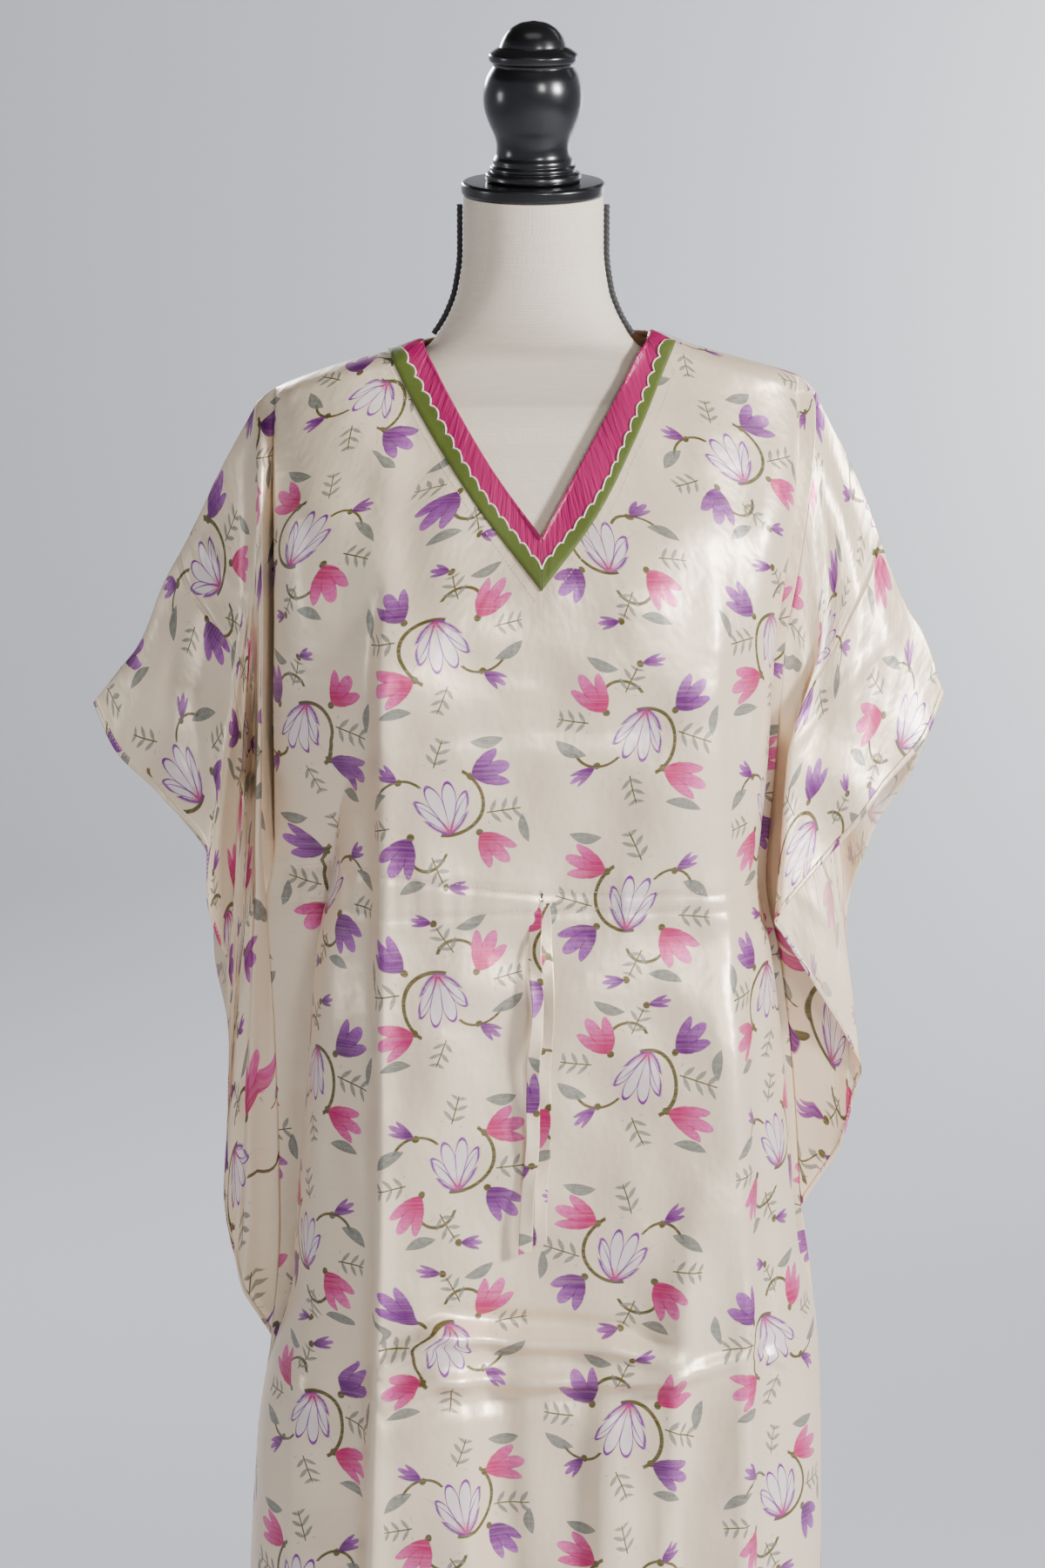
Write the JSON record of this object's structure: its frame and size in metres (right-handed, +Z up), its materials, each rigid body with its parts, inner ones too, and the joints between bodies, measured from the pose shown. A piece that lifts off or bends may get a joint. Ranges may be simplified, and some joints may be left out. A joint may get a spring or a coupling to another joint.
{
  "type": "kaftan on a dress form",
  "caption": "Satin batwing kaftan with a banded V neck, drawstring waist and butterfly sleeves, worn by a limbless linen dress form on a round base.",
  "frame": {"origin": "centre of the underside of the stand's base", "axes": "+Z up along the pole, -Y the way the kaftan faces, +X the viewer's right from the front"},
  "size_m": [0.6731, 0.3371, 1.6697],
  "materials": {
    "satin": "printed ivory satin",
    "magenta": "magenta satin",
    "green": "green ribbon",
    "linen": "slubby linen",
    "braid": "black braided cord",
    "lacquer": "black satin lacquer",
    "pole": "black",
    "base": "black satin lacquer"
  },
  "bodies": {
    "root": {"front": "satin", "sleeve_strip_front_left": "satin", "sleeve_strip_front_right": "satin", "back": "satin", "sleeve_strip_back_left": "satin", "sleeve_strip_back_right": "satin", "neck_band_left": "magenta", "scallop_ribbon_left": "green", "neck_band_right": "magenta", "scallop_ribbon_right": "green", "form_torso": "linen", "neck_disc": "lacquer", "finial": "lacquer", "stand_base": "base", "stand_pole": "pole", "side_cord_left": "braid", "side_cord_right": "braid", "tie_left": "satin", "tie_right": "satin"}
  },
  "joints": []
}
